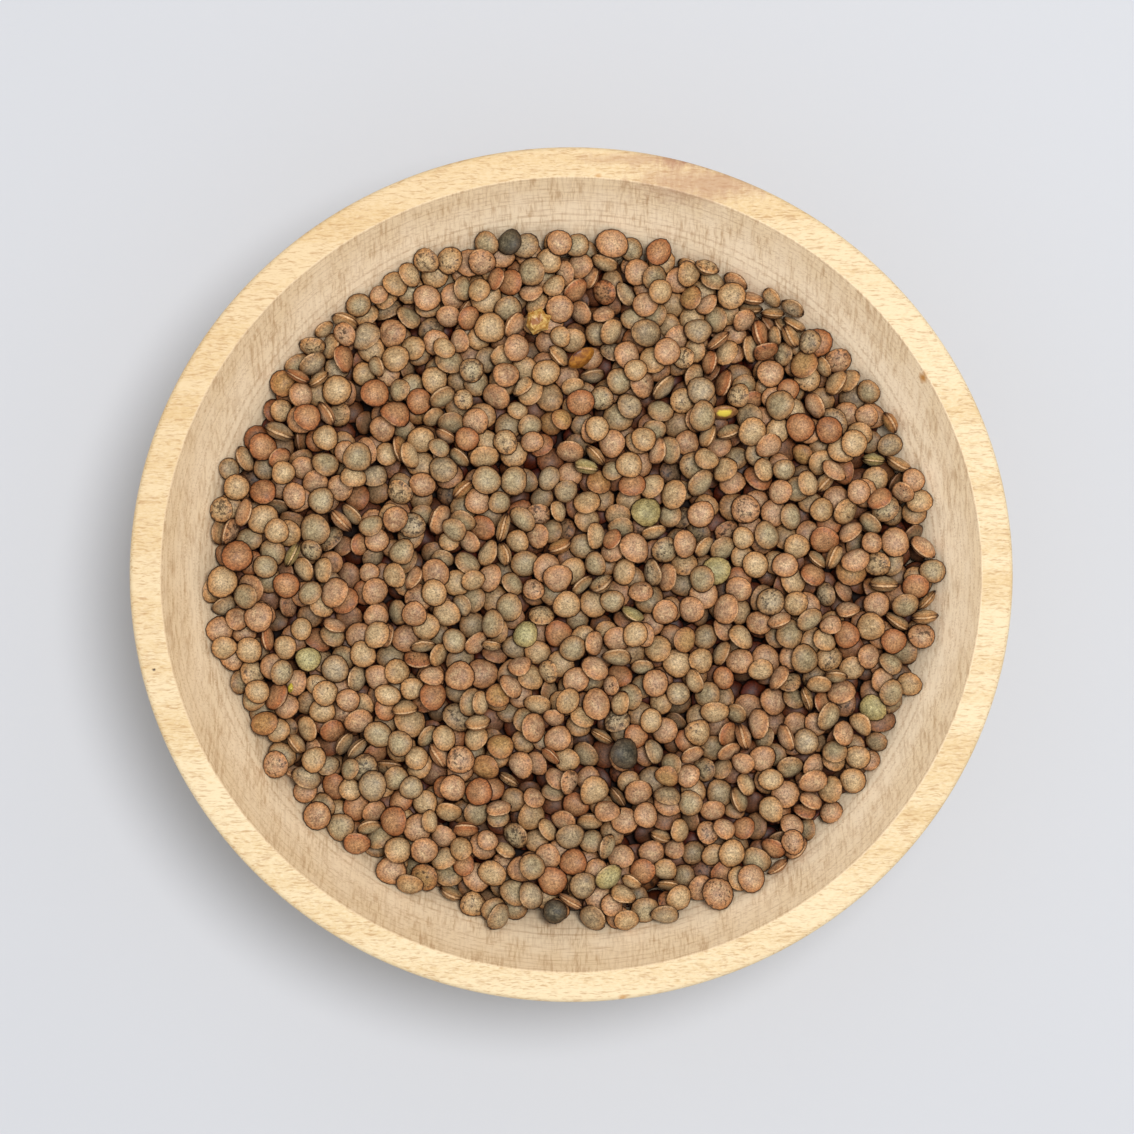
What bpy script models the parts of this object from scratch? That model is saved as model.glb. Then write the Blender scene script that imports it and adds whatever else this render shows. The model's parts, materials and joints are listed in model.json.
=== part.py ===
"""A turned wooden bowl filled with dry brown lentils.

Frame: metres, +Z up, origin on the table under the middle of the bowl's foot, the wood's grain along X.
The bowl is one turned piece that has dried slightly oval. The lentils are one heap that fills it to
an uneven, slightly tilted level: a core whose top is a bump of lentil size for each lentil that lies
flat, with the loose lentils that stand tilted over them fused on.
"""

import math
import random

import bmesh
import bpy
import numpy as np
from mathutils import Euler, Matrix, Vector
from mathutils.geometry import delaunay_2d_cdt

# Bowl, as turned. Drying shrinks it across the grain, which runs along X.
RIM_RADIUS = 0.0800
OVAL_ACROSS_GRAIN = 0.968
RIM_WIDTH = 0.0058
RIM_EDGE_RADIUS = 0.0012
BOWL_HEIGHT = 0.0520
HOLLOW_DEPTH = 0.0440
FOOT_RADIUS = 0.0390
FOOT_HEIGHT = 0.0030
FOOT_BEVEL = 0.0008
BOWL_STEPS = 64
INSIDE_POINTS = 8
OUTSIDE_POINTS = 6
ROUND_POINTS = 3

# Heap. Its level is taken at the wall, in the middle of each side, and rises a little inwards.
WALL_GAP = 0.0005
HEAP_LEVEL = 0.0408
HEAP_RISE = 0.0018
HEAP_TILT_X = 0.0085
HEAP_TILT_Y = -0.025
HEAP_SADDLE = 0.0010
CORE_STEPS = 44
CORE_RINGS = 5
CORE_HEADROOM = 0.0060

# One lentil: a lens with a sharp rim. Thickness and oval are shares of its diameter.
LENTIL_DIAMETER = 0.0052
LENTIL_DIAMETER_SPREAD = 0.00042
LENTIL_DIAMETER_RANGE = (0.0042, 0.0063)
LENTIL_THICKNESS = 0.46
THICKNESS_RANGE = (0.90, 1.12)
OVAL_RANGE = (0.90, 1.0)
LENTIL_SIDES = 8
TABLE_SIDES = 4
TABLE_RADIUS = 0.60
TABLE_HEIGHT = 0.74

# Lentils that lie flat: places pushed apart until they fit side by side, then one bump each. Two
# rows of level places beyond the wall close the bumps at the edge.
SEED = 41
FLAT_COUNT = 486
FLAT_SPACING = 1.05
FLAT_TILT = math.radians(12)
PUSH_ROUNDS = 44
BUMP_TABLE_RADIUS = 0.64
BUMP_TABLE_HEIGHT = 0.0007
BUMP_VALLEY_DEPTH = 0.0011
HEIGHT_SPREAD = 0.00028
BEYOND_COUNT = 78
BEYOND_ROWS = (0.0027, 0.0082)

# Loose lentils that stand tilted over them, largest first.
LOOSE_COUNT = 50
LOOSE_SPACING = 2.2
LOOSE_TILT = (math.radians(15), math.radians(62))
LOOSE_LIFT = (0.0008, 0.0018)
PLACING_TRIES = 400

WOOD_COLOUR = (0.90, 0.72, 0.46, 1.0)
LENTIL_COLOUR = (0.26, 0.15, 0.08, 1.0)


def sphere_radius(mouth_radius, depth):
    """Radius of the sphere whose cap has this mouth radius and depth."""
    return (mouth_radius**2 + depth**2) / (2 * depth)


HOLLOW_RADIUS = sphere_radius(RIM_RADIUS - RIM_WIDTH, HOLLOW_DEPTH)
HOLLOW_CENTRE_Z = BOWL_HEIGHT - HOLLOW_DEPTH + HOLLOW_RADIUS
CORE_RADIUS = HOLLOW_RADIUS - WALL_GAP


def clear_scene():
    """Removes every object of the startup scene."""
    for obj in list(bpy.data.objects):
        bpy.data.objects.remove(obj, do_unlink=True)


def new_collection(name):
    """A collection linked to the scene."""
    collection = bpy.data.collections.new(name)
    bpy.context.scene.collection.children.link(collection)
    return collection


def new_material(name, colour, roughness):
    """A Principled BSDF of one colour."""
    material = bpy.data.materials.new(name)
    material.use_nodes = True
    shader = material.node_tree.nodes["Principled BSDF"]
    shader.inputs["Base Color"].default_value = colour
    shader.inputs["Roughness"].default_value = roughness
    shader.inputs["Metallic"].default_value = 0.0
    material.diffuse_color = colour
    return material


def arc(centre, radius, start, end, points):
    """Points (r, z) along an arc, with both ends, for angles in radians from the +r direction."""
    angles = [start + (end - start) * i / (points - 1) for i in range(points)]
    return [(centre[0] + radius * math.cos(a), centre[1] + radius * math.sin(a)) for a in angles]


def turned_object(name, profile, steps, collection):
    """A profile of (r, z) points, inner side first and then down the outer side, turned about Z."""
    mesh = bpy.data.meshes.new(name)
    points = [(max(r, 0.0), 0.0, z) for r, z in profile]
    mesh.from_pydata(points, [(i, i + 1) for i in range(len(points) - 1)], [])
    obj = bpy.data.objects.new(name, mesh)
    collection.objects.link(obj)
    screw = obj.modifiers.new("Turning", "SCREW")
    screw.axis = "Z"
    screw.angle = 2 * math.pi
    screw.steps = steps
    screw.render_steps = steps
    screw.use_merge_vertices = True
    screw.merge_threshold = 0.000001
    return obj


def apply_modifiers(obj):
    """Makes the object's evaluated mesh its own and removes its modifiers."""
    bpy.context.view_layer.update()
    graph = bpy.context.evaluated_depsgraph_get()
    mesh = bpy.data.meshes.new_from_object(obj.evaluated_get(graph))
    obj.modifiers.clear()
    obj.data = mesh


def bowl_profile():
    """The section of the bowl: up the hollow, across the flat rim, down the outside and the foot."""
    mouth_angle = math.asin((RIM_RADIUS - RIM_WIDTH) / HOLLOW_RADIUS)
    bottom = -math.pi / 2
    hollow = arc((0, HOLLOW_CENTRE_Z), HOLLOW_RADIUS, bottom, bottom + mouth_angle, INSIDE_POINTS)

    edge_centre = (RIM_RADIUS - RIM_EDGE_RADIUS, BOWL_HEIGHT - RIM_EDGE_RADIUS)
    edge = arc(edge_centre, RIM_EDGE_RADIUS, math.pi / 2, 0, ROUND_POINTS)

    # The outside is an arc centred on the axis, through the rim's edge and the top of the foot.
    r_top, z_top = edge[-1]
    r_foot, z_foot = FOOT_RADIUS, FOOT_HEIGHT
    centre_z = (r_top**2 + z_top**2 - r_foot**2 - z_foot**2) / (2 * (z_top - z_foot))
    radius = math.hypot(r_top, z_top - centre_z)
    start = math.atan2(z_top - centre_z, r_top)
    end = math.atan2(z_foot - centre_z, r_foot)
    outside = arc((0, centre_z), radius, start, end, OUTSIDE_POINTS)

    foot = [
        (FOOT_RADIUS - FOOT_BEVEL, FOOT_HEIGHT - FOOT_BEVEL),
        (FOOT_RADIUS - FOOT_BEVEL, FOOT_BEVEL),
        (FOOT_RADIUS - 2 * FOOT_BEVEL, 0.0),
        (0.0, 0.0),
    ]
    return hollow + edge + outside[1:] + foot


def make_bowl(collection):
    """The turned bowl, narrower across the grain."""
    bowl = turned_object("bowl", bowl_profile(), BOWL_STEPS, collection)
    bowl.scale.y = OVAL_ACROSS_GRAIN
    bowl.data.materials.append(new_material("pale_hardwood", WOOD_COLOUR, 0.55))
    return bowl


def wall_radius(z):
    """Radius of the core's side at a height."""
    return math.sqrt(CORE_RADIUS**2 - (HOLLOW_CENTRE_Z - z) ** 2)


def surface_height(x, y):
    """Height of the heap's level above the table at a place, before the bowl's oval is applied."""
    radius = wall_radius(HEAP_LEVEL)
    share = min(math.hypot(x, y) / radius, 1.0)
    saddle = HEAP_SADDLE * (x**2 - y**2) / radius**2
    return HEAP_LEVEL + HEAP_TILT_X * x + HEAP_TILT_Y * y + HEAP_RISE * (1 - share**2) + saddle


def edge_radius(turn):
    """Radius at which the heap's level meets the wall in a direction."""
    radius = wall_radius(HEAP_LEVEL)
    for _ in range(6):
        radius = wall_radius(surface_height(radius * math.cos(turn), radius * math.sin(turn)))
    return radius


def core_profile():
    """The core's section before its top is shaped: a level top over the heap, then down the wall."""
    top = HEAP_LEVEL + CORE_HEADROOM
    bottom = -math.pi / 2
    side = bottom + math.asin(wall_radius(top) / CORE_RADIUS)
    return [(0.0, top)] + arc((0, HOLLOW_CENTRE_Z), CORE_RADIUS, side, bottom, CORE_RINGS + 1)


def ring(radius, height, corners, turn=0.0):
    """Corners of a regular polygon at a height."""
    angles = [turn + 2 * math.pi * i / corners for i in range(corners)]
    return [(radius * math.cos(a), radius * math.sin(a), height) for a in angles]


def lentil_mesh():
    """One lentil of unit radius and unit half thickness: the skin over its rim, table and underside."""
    rim = ring(1.0, 0.0, LENTIL_SIDES)
    table = ring(TABLE_RADIUS, TABLE_HEIGHT, TABLE_SIDES, math.pi / LENTIL_SIDES)
    shape = bmesh.new()
    for point in rim + table + [(0.0, 0.0, -1.0)]:
        shape.verts.new(point)
    bmesh.ops.convex_hull(shape, input=shape.verts)
    bmesh.ops.recalc_face_normals(shape, faces=shape.faces)
    mesh = bpy.data.meshes.new("lentil_to_fuse")
    shape.to_mesh(mesh)
    shape.free()
    return mesh


def drawn_halves(draw, count):
    """Half diameters of this many lentils, the largest first."""
    low, high = LENTIL_DIAMETER_RANGE
    drawn = [draw.gauss(LENTIL_DIAMETER, LENTIL_DIAMETER_SPREAD) for _ in range(count)]
    return sorted((min(max(d, low), high) / 2 for d in drawn), reverse=True)


def drawn_place(draw):
    """A place (x, y) on the heap, even over its area."""
    turn = draw.uniform(0, 2 * math.pi)
    radius = edge_radius(turn) * math.sqrt(draw.random())
    return radius * math.cos(turn), radius * math.sin(turn)


def pushed_apart(places, halves):
    """The places after each round moves lentils of these half diameters out of each other."""
    places, halves = np.array(places), np.array(halves)
    wanted = FLAT_SPACING * (halves[:, None] + halves[None, :])
    np.fill_diagonal(wanted, 0.0)
    for _ in range(PUSH_ROUNDS):
        apart = places[:, None] - places[None, :]
        distance = np.maximum(np.linalg.norm(apart, axis=2), 1e-9)
        push = np.maximum(wanted - distance, 0.0) / distance
        places = places + 0.4 * (apart * push[:, :, None]).sum(axis=1)
        radius = np.maximum(np.linalg.norm(places, axis=1), 1e-9)
        turns = np.arctan2(places[:, 1], places[:, 0])
        limit = np.array([edge_radius(turn) for turn in turns]) - halves
        places = places * np.minimum(limit / radius, 1.0)[:, None]
    return [tuple(place) for place in places]


def places_beyond():
    """Places in rows beyond the wall."""
    rows = []
    for beyond in BEYOND_ROWS:
        for step in range(BEYOND_COUNT):
            turn = 2 * math.pi * step / BEYOND_COUNT
            radius = edge_radius(turn) + beyond
            rows.append((radius * math.cos(turn), radius * math.sin(turn)))
    return rows


def bumpy_block(draw, collection):
    """A block from under the bowl up to the flat lentils, each a bump with a tilted table.

    The places are joined into triangles. The middle of each triangle is a point in the valley
    between three bumps, and a bump's valley points lie round its place.
    """
    halves = drawn_halves(draw, FLAT_COUNT)
    places = pushed_apart([drawn_place(draw) for _ in halves], halves) + places_beyond()
    closed = len(places) - BEYOND_COUNT
    points = [Vector(place) for place in places]
    triangles = delaunay_2d_cdt(points, [], [], 0, 1e-9)[2]
    around = [[] for _ in places]
    shape = bmesh.new()
    for triangle in triangles:
        middle = sum((points[i] for i in triangle), Vector((0, 0))) / 3
        depth = BUMP_VALLEY_DEPTH + draw.gauss(0, HEIGHT_SPREAD)
        valley = shape.verts.new((middle.x, middle.y, surface_height(*middle) - depth))
        for i in triangle:
            around[i].append(valley)
    for i, (place, valleys) in enumerate(zip(points[:closed], around)):
        valleys.sort(key=lambda v: math.atan2(v.co.y - place.y, v.co.x - place.x))
        if i < FLAT_COUNT:
            add_bump(draw, shape, place, valleys)
        else:
            shape.faces.new(valleys)
    loose = [vertex for vertex in shape.verts if not vertex.link_faces]
    bmesh.ops.delete(shape, geom=loose, context="VERTS")
    rim = [edge for edge in shape.edges if edge.is_boundary]
    lowered = bmesh.ops.extrude_edge_only(shape, edges=rim)["geom"]
    for vertex in lowered:
        if isinstance(vertex, bmesh.types.BMVert):
            vertex.co.z = -CORE_HEADROOM
    bmesh.ops.contextual_create(shape, geom=[e for e in lowered if isinstance(e, bmesh.types.BMEdge)])
    bmesh.ops.recalc_face_normals(shape, faces=shape.faces)
    mesh = bpy.data.meshes.new("bumpy_block")
    shape.to_mesh(mesh)
    shape.free()
    block = bpy.data.objects.new("bumpy_block", mesh)
    collection.objects.link(block)
    return block


def add_bump(draw, shape, place, valleys):
    """One bump: a flat table, tilted at random, and a side down to each of the valley points."""
    slope = math.tan(draw.gauss(0, FLAT_TILT))
    towards = draw.uniform(0, 2 * math.pi)
    height = surface_height(*place) + BUMP_TABLE_HEIGHT + draw.gauss(0, HEIGHT_SPREAD)
    table = []
    for valley in valleys:
        x, y = BUMP_TABLE_RADIUS * (valley.co.xy - place)
        rise = slope * (x * math.cos(towards) + y * math.sin(towards))
        table.append(shape.verts.new((place.x + x, place.y + y, height + rise)))
    shape.faces.new(table)
    for i, corner in enumerate(table):
        after = (i + 1) % len(table)
        shape.faces.new((valleys[i], valleys[after], table[after], corner))


def make_core(draw, collection):
    """The core of the heap: a turned piece that fits the hollow with a gap, cut to the bumpy top."""
    core = turned_object("lentils", core_profile(), CORE_STEPS, collection)
    block = bumpy_block(draw, collection)
    cut = core.modifiers.new("Top of bumps", "BOOLEAN")
    cut.operation = "INTERSECT"
    cut.solver = "MANIFOLD"
    cut.object = block
    apply_modifiers(core)
    bpy.data.objects.remove(block)
    return core


def lentil_frame(draw, half):
    """Place, lean, turn and size of one loose lentil."""
    x, y = drawn_place(draw)
    half_thickness = half * LENTIL_THICKNESS * draw.uniform(*THICKNESS_RANGE)
    tilt = Euler((0, draw.uniform(*LOOSE_TILT), draw.uniform(0, 2 * math.pi)), "XYZ").to_matrix()
    turn = Matrix.Rotation(draw.uniform(0, 2 * math.pi), 3, "Z")
    size = Matrix.Diagonal((half, half * draw.uniform(*OVAL_RANGE), half_thickness))
    frame = (tilt @ turn @ size).to_4x4()
    frame.translation = (x, y, surface_height(x, y) + draw.uniform(*LOOSE_LIFT))
    return frame


def inside_bowl(frame):
    """Whether the rim of a lentil keeps the gap to the hollow's wall."""
    centre = Vector((0, 0, HOLLOW_CENTRE_Z))
    rim = [frame @ Vector(corner) for corner in ring(1.0, 0.0, LENTIL_SIDES)]
    return all((corner - centre).length < CORE_RADIUS for corner in rim)


def scatter_loose(draw):
    """Frames of the loose lentils, each clear of those placed before."""
    frames = []
    for half in drawn_halves(draw, LOOSE_COUNT):
        for _ in range(PLACING_TRIES):
            frame = lentil_frame(draw, half)
            place = frame.translation.xy
            nearest = min(((place - other.translation.xy).length for other in frames), default=1.0)
            if nearest > LOOSE_SPACING * 2 * half and inside_bowl(frame):
                frames.append(frame)
                break
    return frames


def fuse(core, pieces):
    """Joins a collection's pieces to the core with one Boolean union, then removes them."""
    union = core.modifiers.new("Fused lentils", "BOOLEAN")
    union.operation = "UNION"
    union.solver = "MANIFOLD"
    union.operand_type = "COLLECTION"
    union.collection = pieces
    apply_modifiers(core)
    for piece in list(pieces.objects):
        bpy.data.objects.remove(piece, do_unlink=True)
    bpy.data.collections.remove(pieces)


def keep_largest_shell(mesh):
    """Fills sealed hollows and drops loose scraps by keeping only the largest connected shell."""
    shape = bmesh.new()
    shape.from_mesh(mesh)
    unseen = set(shape.verts)
    shells = []
    while unseen:
        shell = {unseen.pop()}
        front = list(shell)
        while front:
            vertex = front.pop()
            for edge in vertex.link_edges:
                other = edge.other_vert(vertex)
                if other in unseen:
                    unseen.discard(other)
                    shell.add(other)
                    front.append(other)
        shells.append(shell)
    shells.sort(key=len, reverse=True)
    scraps = [vertex for shell in shells[1:] for vertex in shell]
    bmesh.ops.delete(shape, geom=scraps, context="VERTS")
    bmesh.ops.triangulate(shape, faces=shape.faces)
    shape.to_mesh(mesh)
    shape.free()


def make_lentils(collection):
    """The heap: the bumpy core with the loose lentils fused on."""
    draw = random.Random(SEED)
    core = make_core(draw, collection)
    pieces = new_collection("lentils to fuse")
    shape = lentil_mesh()
    for frame in scatter_loose(draw):
        lentil = bpy.data.objects.new("lentil_to_fuse", shape)
        lentil.matrix_world = frame
        pieces.objects.link(lentil)
    fuse(core, pieces)
    keep_largest_shell(core.data)
    core.scale.y = OVAL_ACROSS_GRAIN
    core.data.materials.clear()
    core.data.materials.append(new_material("lentil_skin", LENTIL_COLOUR, 0.6))
    return core


def main():
    clear_scene()
    collection = new_collection("bowl of dry lentils")
    make_bowl(collection)
    make_lentils(collection)


main()
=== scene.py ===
"""A turned bowl of pale wood filled with dry brown lentils, seen from straight above.

The bowl is turned again with a fine section, and its bare wood is drawn by one material. The
lentils are poured over a rough core inside the bowl by a rigid-body simulation, sorted into kinds
by seeded draws and by place, and meshed by one Geometry Nodes tree, one piece for each kind.

Lengths are metres unless a name ends in _mm. Pixels are those of the 1134 x 1134 photograph.
"""

import json
import logging
import math
import random
from dataclasses import dataclass
from enum import Enum

import bmesh
import bpy
import numpy as np
from mathutils import Matrix, Quaternion, Vector

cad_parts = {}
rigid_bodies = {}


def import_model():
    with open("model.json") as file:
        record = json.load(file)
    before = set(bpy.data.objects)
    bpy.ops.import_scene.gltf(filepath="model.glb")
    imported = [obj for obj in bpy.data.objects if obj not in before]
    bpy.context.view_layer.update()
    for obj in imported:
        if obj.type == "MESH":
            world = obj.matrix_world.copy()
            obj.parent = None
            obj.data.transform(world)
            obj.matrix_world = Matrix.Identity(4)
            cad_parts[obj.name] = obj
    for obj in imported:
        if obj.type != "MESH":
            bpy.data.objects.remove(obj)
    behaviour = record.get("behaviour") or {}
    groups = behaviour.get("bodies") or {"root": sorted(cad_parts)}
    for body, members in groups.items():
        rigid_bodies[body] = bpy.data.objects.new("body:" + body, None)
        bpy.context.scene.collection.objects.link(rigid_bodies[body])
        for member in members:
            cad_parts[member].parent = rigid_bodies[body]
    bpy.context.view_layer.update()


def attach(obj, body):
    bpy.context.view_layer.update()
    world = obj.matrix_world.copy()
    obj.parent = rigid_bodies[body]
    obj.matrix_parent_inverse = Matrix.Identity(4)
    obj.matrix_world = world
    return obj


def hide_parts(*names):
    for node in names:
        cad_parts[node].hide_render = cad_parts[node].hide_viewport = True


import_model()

log = logging.getLogger("bowl_of_lentils")

MM = 0.001
BODY = "root"
SHARP_DEGREES = 38

Tree = bpy.types.NodeTree
Socket = bpy.types.NodeSocket
Triple = tuple[float, float, float]
# A Map Range node's numbers: from low, from high, to low, to high.
Span = tuple[float, float, float, float]


# ---------------------------------------------------------------- colour and node helpers


def linear(hex_colour: str, alpha: float = 1.0) -> tuple[float, float, float, float]:
    """Turns an sRGB hex colour linear.

    Args:
        hex_colour: six hex digits after a #.
        alpha: the fourth value.

    Returns:
        Linear red, green and blue, and alpha.
    """
    parts = [int(hex_colour[i : i + 2], 16) / 255 for i in (1, 3, 5)]
    red, green, blue = (c / 12.92 if c <= 0.04045 else ((c + 0.055) / 1.055) ** 2.4 for c in parts)
    return red, green, blue, alpha


def add_node(
    tree: Tree, kind: str, feeds: dict | tuple = (),
    stops: tuple[tuple[float, str], ...] = (), **settings: object,
) -> bpy.types.Node:
    """Adds a node with its settings and inputs.

    Args:
        tree: the node tree.
        kind: the node's type name.
        feeds: an output socket to link or a value for each input: by the input's name or number,
            or in order from the first input.
        stops: a position and an sRGB hex colour for each stop, in order, if it has a colour ramp.
        settings: the node's own properties.

    Returns:
        The new node.
    """
    node = tree.nodes.new(kind)
    for name, value in settings.items():
        setattr(node, name, value)
    for number, (position, colour) in enumerate(stops):
        elements = node.color_ramp.elements
        element = elements[number] if number < len(elements) else elements.new(position)
        element.position, element.color = position, linear(colour)
    for key, value in feeds.items() if isinstance(feeds, dict) else enumerate(feeds):
        socket = node.inputs[key]
        if isinstance(value, Socket):
            tree.links.new(value, socket)
        else:
            socket.default_value = value
    return node


def length_from(tree: Tree, place: Socket, centre: Triple, spread: Triple) -> Socket:
    """Adds the nodes that tell how far a place is from a centre.

    Args:
        tree: the node tree.
        place: the place.
        centre: what it is measured from.
        spread: the length of one unit along each axis.

    Returns:
        The distance in those units.
    """
    for value, operation in ((centre, "SUBTRACT"), (spread, "DIVIDE")):
        place = add_node(
            tree, "ShaderNodeVectorMath", (place, value), operation=operation
        ).outputs[0]
    return add_node(tree, "ShaderNodeVectorMath", (place,), operation="LENGTH").outputs["Value"]


def new_finish(
    name: str, roughness: float, ior: float
) -> tuple[bpy.types.Material, bpy.types.Node]:
    """Makes a material with a Principled shader.

    Args:
        name: the real material's name.
        roughness: the shader's roughness.
        ior: the shader's index of refraction.

    Returns:
        The material and its shader node.
    """
    material = bpy.data.materials.new(name)
    material.use_nodes = True
    shader = material.node_tree.nodes["Principled BSDF"]
    shader.inputs["Roughness"].default_value = roughness
    shader.inputs["IOR"].default_value = ior
    return material, shader


def mesh_object(name: str, mesh: bpy.types.Mesh) -> bpy.types.Object:
    """Links a mesh to the scene as an object at the origin."""
    obj = bpy.data.objects.new(name, mesh)
    bpy.context.scene.collection.objects.link(obj)
    return obj


def place_piece(piece: bpy.types.Object, node: str, note: str) -> None:
    """Ties a finished piece to the frame and reports it.

    Args:
        piece: the piece, at the origin.
        node: the CAD node that it stands for.
        note: a few words for the log.
    """
    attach(piece, BODY)
    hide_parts(node)
    log.info("%s: %d faces, %s", piece.name, len(piece.data.polygons), note)


# ---------------------------------------------------------------- the bowl


@dataclass(frozen=True)
class BowlWood:
    """Bare, fine-turned maple: satin-matte, pale and warm.

    The flat rim is sanded smooth and shows wavy fibre lines along the grain. The hollow is streaked
    across the grain where the tool raised it, hatched by the tool, and paler lower down next to the
    lentils, partly in its tone and partly as painted light. One side of the rim is more yellow with
    age, and the hollow is painted lighter towards one side and darker towards the other as painted
    light and shade.
    """

    cream: str = "#E6D1AA"
    honey: str = "#D8BB8A"
    aged: str = "#CFA468"
    line: str = "#A8743C"
    wall_pale_and_painted_light: str = "#F0D8B6"
    wall: str = "#E8CDA6"
    streak: str = "#A67C50"
    heartwood: str = "#A8785A"
    stain: str = "#BE8236"
    knot: str = "#3A2012"
    roughness: float = 0.62
    ior: float = 1.52
    hollow_radius: float = 0.08456
    hollow_centre: float = 0.09256
    oval: float = 0.968
    fibre_mm: float = 0.30
    fibre_length_mm: float = 2.3
    grain_mm: float = 0.38
    streak_mm: float = 0.46
    streak_length_mm: float = 3.8
    hatch_mm: float = 0.36
    tool_mm: float = 0.8
    band_mm: float = 7.0
    cloud_mm: float = 4.5
    ragged_mm: float = 1.1
    sway: float = 0.0007
    sway_scale: float = 380.0
    relief: float = 0.00006
    grain_weight: float = 0.9
    turning_weight: float = 0.9
    flaw_ragged: float = 1.6
    flaw_edge: tuple[float, float] = (1.1, 1.85)
    aged_way: Triple = (-0.5, 0.87, 0.0)
    # Painted light and shade across the hollow: lighter this way, darker the other.
    painted_light_way: Triple = (0.82, 0.57, 0.0)
    painted_light_reach: float = 0.065
    painted_light_low: Triple = (0.89, 0.87, 0.84)
    painted_light_high: Triple = (1.13, 1.18, 1.25)
    rim_tone: Span = (0.72, 1.06, 0.0, 1.0)
    fibre_show: Span = (0.51, 0.7, 0.0, 0.58)
    fibre_sink: Span = (0.5, 0.75, 1.0, 0.0)
    aged_show: Span = (0.0, 0.08, 0.0, 0.32)
    wall_tone_and_light: Span = (0.043, 0.0505, 0.0, 1.0)
    wall_clouds: Span = (0.35, 0.65, -0.35, 0.35)
    hatch_show: Span = (0.955, 1.235, 0.0, 0.48)
    streak_show: Span = (0.46, 0.66, 0.0, 0.58)
    streak_clouds: Span = (0.38, 0.62, 0.35, 1.0)

    def material(self) -> bpy.types.Material:
        """Builds the wood from Object coordinates, with the grain along X."""
        material, shader = new_finish("turned_maple", self.roughness, self.ior)
        tree = material.node_tree
        place = add_node(tree, "ShaderNodeTexCoord").outputs["Object"]
        rim, fibres = self.sanded_rim(tree, place)
        wall, marks = self.streaked_wall(tree, place)
        inside = self.inside_mask(tree, place)
        wood = add_node(
            tree, "ShaderNodeMix", {0: inside, 6: rim, 7: wall}, data_type="RGBA"
        ).outputs[2]
        wood = self.flaws(tree, place, wood)
        tree.links.new(wood, shader.inputs["Base Color"])
        relief = add_node(
            tree, "ShaderNodeMix", {0: inside, 2: fibres, 3: marks}, data_type="FLOAT"
        ).outputs[0]
        bump = add_node(
            tree, "ShaderNodeBump", {"Strength": 0.4, "Distance": self.relief, "Height": relief}
        )
        tree.links.new(bump.outputs[0], shader.inputs["Normal"])
        return material

    def inside_mask(self, tree: Tree, place: Socket) -> Socket:
        """Where the surface is the hollow: on the sphere that it is part of, and no further out."""
        centre, spread = (0.0, 0.0, self.hollow_centre), (1.0, self.oval, 1.0)
        far = length_from(tree, place, centre, spread)
        return add_node(
            tree, "ShaderNodeMapRange",
            (far, self.hollow_radius + 0.0001, self.hollow_radius + 0.0003, 1.0, 0.0),
        ).outputs[0]

    def stretched_noise(
        self, tree: Tree, place: Socket, scale: Triple, width_mm: float, detail: float = 2.0
    ) -> Socket:
        """Noise whose features are width_mm across, drawn out by the given scale.

        Args:
            tree: the material's tree.
            place: Object coordinates, bent or not.
            scale: how fast the pattern runs along each axis, as a share.
            width_mm: size of a feature where that share is 1.
            detail: octaves.

        Returns:
            The noise, about 0 to 1.
        """
        drawn = add_node(
            tree, "ShaderNodeVectorMath", (place, scale), operation="MULTIPLY"
        ).outputs[0]
        return add_node(
            tree, "ShaderNodeTexNoise",
            {"Vector": drawn, "Scale": 1 / (width_mm * MM), "Detail": detail, "Roughness": 0.62},
        ).outputs["Fac"]

    def sanded_rim(self, tree: Tree, place: Socket) -> tuple[Socket, Socket]:
        """Draws the rim and the outside: growth bands, wavy fibre lines along X, and the aged side.

        Args:
            tree: the material's tree.
            place: Object coordinates.

        Returns:
            The colour and the height.
        """
        sway = add_node(
            tree, "ShaderNodeTexNoise", {"Vector": place, "Scale": self.sway_scale, "Detail": 1.0}
        ).outputs["Color"]
        swayed = add_node(
            tree, "ShaderNodeVectorMath", (sway, (self.sway,) * 3, place), operation="MULTIPLY_ADD"
        ).outputs[0]
        bands = self.stretched_noise(tree, place, (0.05, 1.0, 1.0), self.band_mm)
        grain = self.stretched_noise(tree, swayed, (0.4, 1.0, 1.0), self.grain_mm, 4.0)
        toned = add_node(
            tree, "ShaderNodeMath", (grain, self.grain_weight, bands), operation="MULTIPLY_ADD"
        ).outputs[0]
        amount = add_node(tree, "ShaderNodeMapRange", (toned, *self.rim_tone)).outputs[0]
        base = add_node(
            tree, "ShaderNodeMix", {0: amount, 6: linear(self.honey), 7: linear(self.cream)},
            data_type="RGBA",
        ).outputs[2]
        share = self.fibre_mm / self.fibre_length_mm
        fibres = self.stretched_noise(tree, swayed, (share, 1.0, 1.0), self.fibre_mm)
        shown = add_node(tree, "ShaderNodeMapRange", (fibres, *self.fibre_show)).outputs[0]
        sunk = add_node(tree, "ShaderNodeMapRange", (fibres, *self.fibre_sink)).outputs[0]
        along = add_node(
            tree, "ShaderNodeVectorMath", (place, self.aged_way), operation="DOT_PRODUCT"
        ).outputs["Value"]
        aged = add_node(tree, "ShaderNodeMapRange", (along, *self.aged_show)).outputs[0]
        base = add_node(
            tree, "ShaderNodeMix", {0: aged, 6: base, 7: linear(self.aged)}, data_type="RGBA"
        ).outputs[2]
        fibrous = add_node(
            tree, "ShaderNodeMix", {0: shown, 6: base, 7: linear(self.line)}, data_type="RGBA"
        ).outputs[2]
        return fibrous, sunk

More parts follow.
